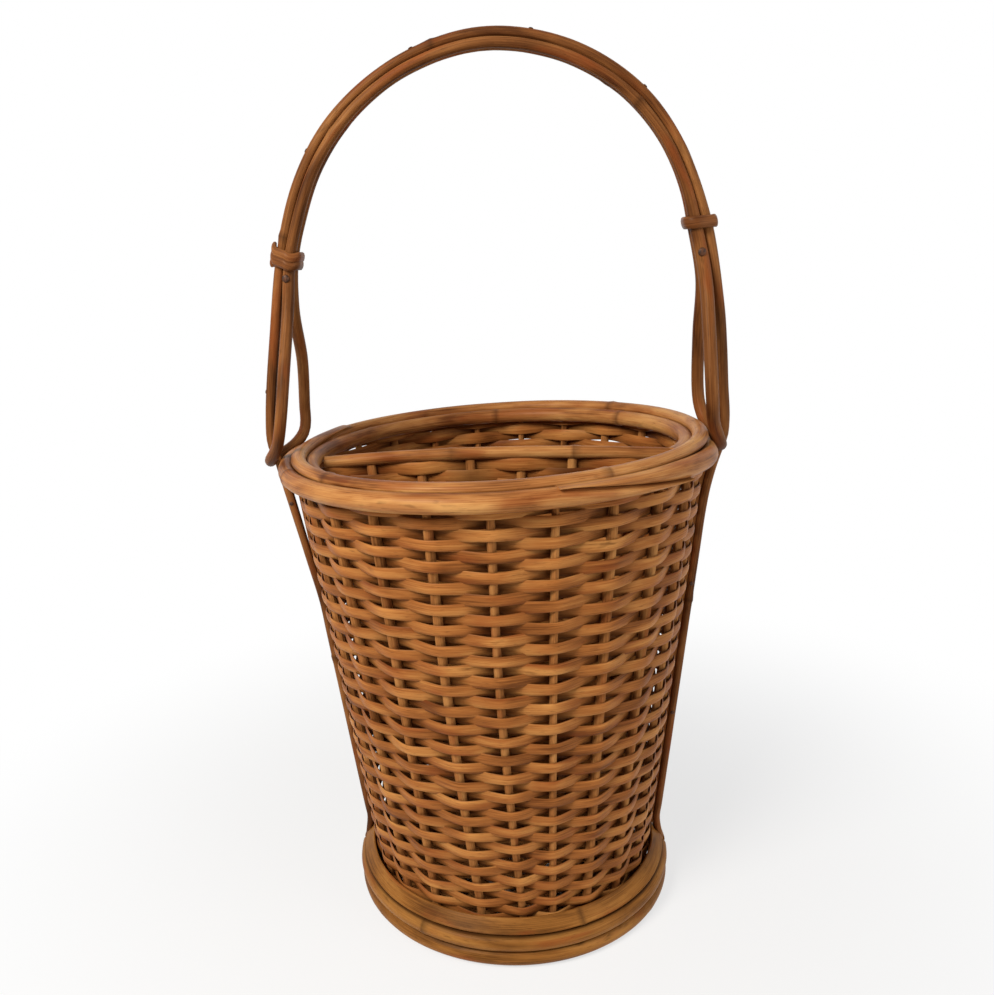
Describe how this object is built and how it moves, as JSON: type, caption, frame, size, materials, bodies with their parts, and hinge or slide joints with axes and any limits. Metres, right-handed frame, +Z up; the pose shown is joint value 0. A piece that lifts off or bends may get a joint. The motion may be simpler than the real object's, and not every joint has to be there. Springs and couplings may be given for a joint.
{
  "type": "divided rattan basket",
  "caption": "Tall round tapered rattan basket with a foot ring, a woven divider across the middle and a fixed hoop handle with looped ends.",
  "frame": {"origin": "on the floor under the centre of the foot", "axes": "+Z up, X along the handle and the divider, -Y the front compartment"},
  "size_m": [0.2539, 0.2336, 0.4629],
  "materials": {
    "weave": "flat split rattan strip with a satin skin, woven over and under",
    "stakes": "round rattan core, dry and fine-grained",
    "rim": "whole rattan rod with its glossy skin and darker joints",
    "foot": "thick rattan rod, olive brown, glossy, with dark stains at the joints",
    "handle": "whole rattan rod with its glossy skin, mottled brown",
    "collars": "split cane wound tight, polished by the hand",
    "battens": "flat split cane",
    "base": "rattan strip woven across radiating stakes"
  },
  "bodies": {
    "root": {"base": "base", "batten_left": "battens", "batten_right": "battens", "collar_left": "collars", "collar_right": "collars", "divider_rail": "rim", "divider_stake_01": "stakes", "divider_stake_02": "stakes", "divider_stake_03": "stakes", "divider_stake_04": "stakes", "divider_stake_05": "stakes", "divider_stake_06": "stakes", "divider_stake_07": "stakes", "divider_stake_08": "stakes", "divider_weave": "weave", "foot_band": "foot", "foot_ring_lower": "foot", "foot_ring_upper": "foot", "handle_loop_rod": "handle", "handle_spine": "handle", "rim_inner_ring": "rim", "rim_outer_ring": "rim", "rim_top_ring": "rim", "wall_stake_01": "stakes", "wall_stake_02": "stakes", "wall_stake_03": "stakes", "wall_stake_04": "stakes", "wall_stake_05": "stakes", "wall_stake_06": "stakes", "wall_stake_07": "stakes", "wall_stake_08": "stakes", "wall_stake_09": "stakes", "wall_stake_10": "stakes", "wall_stake_11": "stakes", "wall_stake_12": "stakes", "wall_stake_13": "stakes", "wall_stake_14": "stakes", "wall_stake_15": "stakes", "wall_stake_16": "stakes", "wall_stake_17": "stakes", "wall_stake_18": "stakes", "wall_stake_19": "stakes", "wall_stake_20": "stakes", "wall_stake_21": "stakes", "wall_stake_22": "stakes", "wall_stake_23": "stakes", "wall_weave": "weave"}
  },
  "joints": []
}
